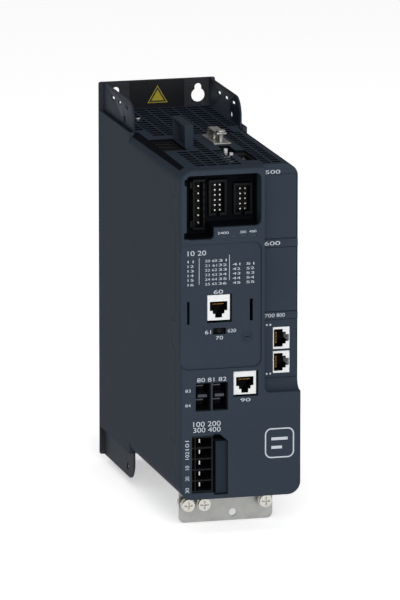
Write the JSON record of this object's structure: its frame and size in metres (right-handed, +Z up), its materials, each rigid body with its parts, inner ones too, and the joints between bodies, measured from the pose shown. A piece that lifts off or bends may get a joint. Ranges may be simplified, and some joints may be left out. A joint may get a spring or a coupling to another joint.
{
  "type": "variable-speed motor drive",
  "caption": "Narrow book-format motor drive: steel wall chassis, slate plastic housing with roof grille, front plug sockets, jacks, option bays, fan and earth plate.",
  "frame": {"origin": "on the wall face, midway between the two keyholes", "axes": "+X to the right seen from the front, +Y towards the wall, +Z up along the long side"},
  "size_m": [0.085, 0.2325, 0.2752],
  "materials": {
    "steel_dark": "textured powder coat",
    "slate_plastic": "fine spark-eroded moulding",
    "black_plastic": "matt moulding",
    "cream_plastic": "smooth moulding",
    "lens_plastic": "smoked light guide",
    "zinc_steel": "zinc plated",
    "tin_contact": "tin plated",
    "gold_contact": "gilt spring wire",
    "bare_aluminium": "extruded",
    "label_film": "printed film",
    "board_laminate": "solder mask over glass laminate",
    "brass_spacer": "turned",
    "thermal_sheet": "soft filled sheet",
    "capacitor_sleeve": "shrink sleeve",
    "copper_winding": "enamelled wire",
    "relay_case": "moulded case"
  },
  "bodies": {
    "drive": {"wall_plate": "steel_dark", "chassis_channel": "steel_dark", "housing_shell": "slate_plastic", "front_cover": "slate_plastic", "control_panel_plate": "slate_plastic", "network_port_plate": "slate_plastic", "io_bezel": "slate_plastic", "label_carrier": "black_plastic", "fan_frame": "black_plastic", "relay_header": "black_plastic", "digital_header": "black_plastic", "analog_header": "black_plastic", "dc_bus_socket": "black_plastic", "motor_header": "black_plastic", "selector_switch": "black_plastic", "latch_guide": "black_plastic", "supply_terminal": "black_plastic", "brake_header": "black_plastic", "power_module": "black_plastic", "control_board_pillars": "black_plastic", "hmi_jack": "cream_plastic", "serial_jack": "cream_plastic", "network_jack_upper": "cream_plastic", "network_jack_lower": "cream_plastic", "release_posts": "cream_plastic", "status_lenses": "lens_plastic", "fan_screws": "zinc_steel", "housing_screws": "zinc_steel", "dc_bus_blades": "zinc_steel", "clamp_rail": "zinc_steel", "clamp_screw": "zinc_steel", "filter_screw": "zinc_steel", "ground_plate": "zinc_steel", "ground_nuts": "zinc_steel", "relay_header_pins": "tin_contact", "digital_header_pins": "tin_contact", "analog_header_pins": "tin_contact", "motor_header_pins": "tin_contact", "supply_terminal_pins": "tin_contact", "brake_header_pins": "tin_contact", "cable_clamp": "tin_contact", "ground_screws": "tin_contact", "hmi_jack_contacts": "gold_contact", "serial_jack_contacts": "gold_contact", "network_jack_contacts": "gold_contact", "heat_sink": "bare_aluminium", "warning_label": "label_film", "power_board": "board_laminate", "control_board": "board_laminate", "network_board": "board_laminate", "power_board_spacers": "brass_spacer", "thermal_pad": "thermal_sheet", "bus_capacitors": "capacitor_sleeve", "filter_choke": "copper_winding", "signal_relays": "relay_case"},
    "fan": {"fan_rotor": "black_plastic", "fan_shaft": "tin_contact"},
    "selector": {"selector_slider": "black_plastic"},
    "lock": {"panel_lock": "slate_plastic"},
    "option_cover_top": {"option_cover_upper": "slate_plastic"},
    "option_cover_low": {"option_cover_lower": "slate_plastic"}
  },
  "joints": [
    {"name": "fan_spin", "type": "hinge", "parent": "drive", "child": "fan", "pos_m": [0, -0.036, -0.2274], "axis": [0, 0, 1], "continuous": true},
    {"name": "selector_slide", "type": "slide", "parent": "drive", "child": "selector", "axis": [1, 0, 0], "range_m": [-0.0028, 0.0028]},
    {"name": "lock_turn", "type": "hinge", "parent": "drive", "child": "lock", "pos_m": [0.0045, -0.2325, -0.1244], "axis": [0, -1, 0], "range_deg": [0, 90]},
    {"name": "option_cover_top_pull", "type": "slide", "parent": "drive", "child": "option_cover_top", "axis": [0, -1, 0], "range_m": [0, 0.02]},
    {"name": "option_cover_low_pull", "type": "slide", "parent": "drive", "child": "option_cover_low", "axis": [0, -1, 0], "range_m": [0, 0.02]}
  ]
}
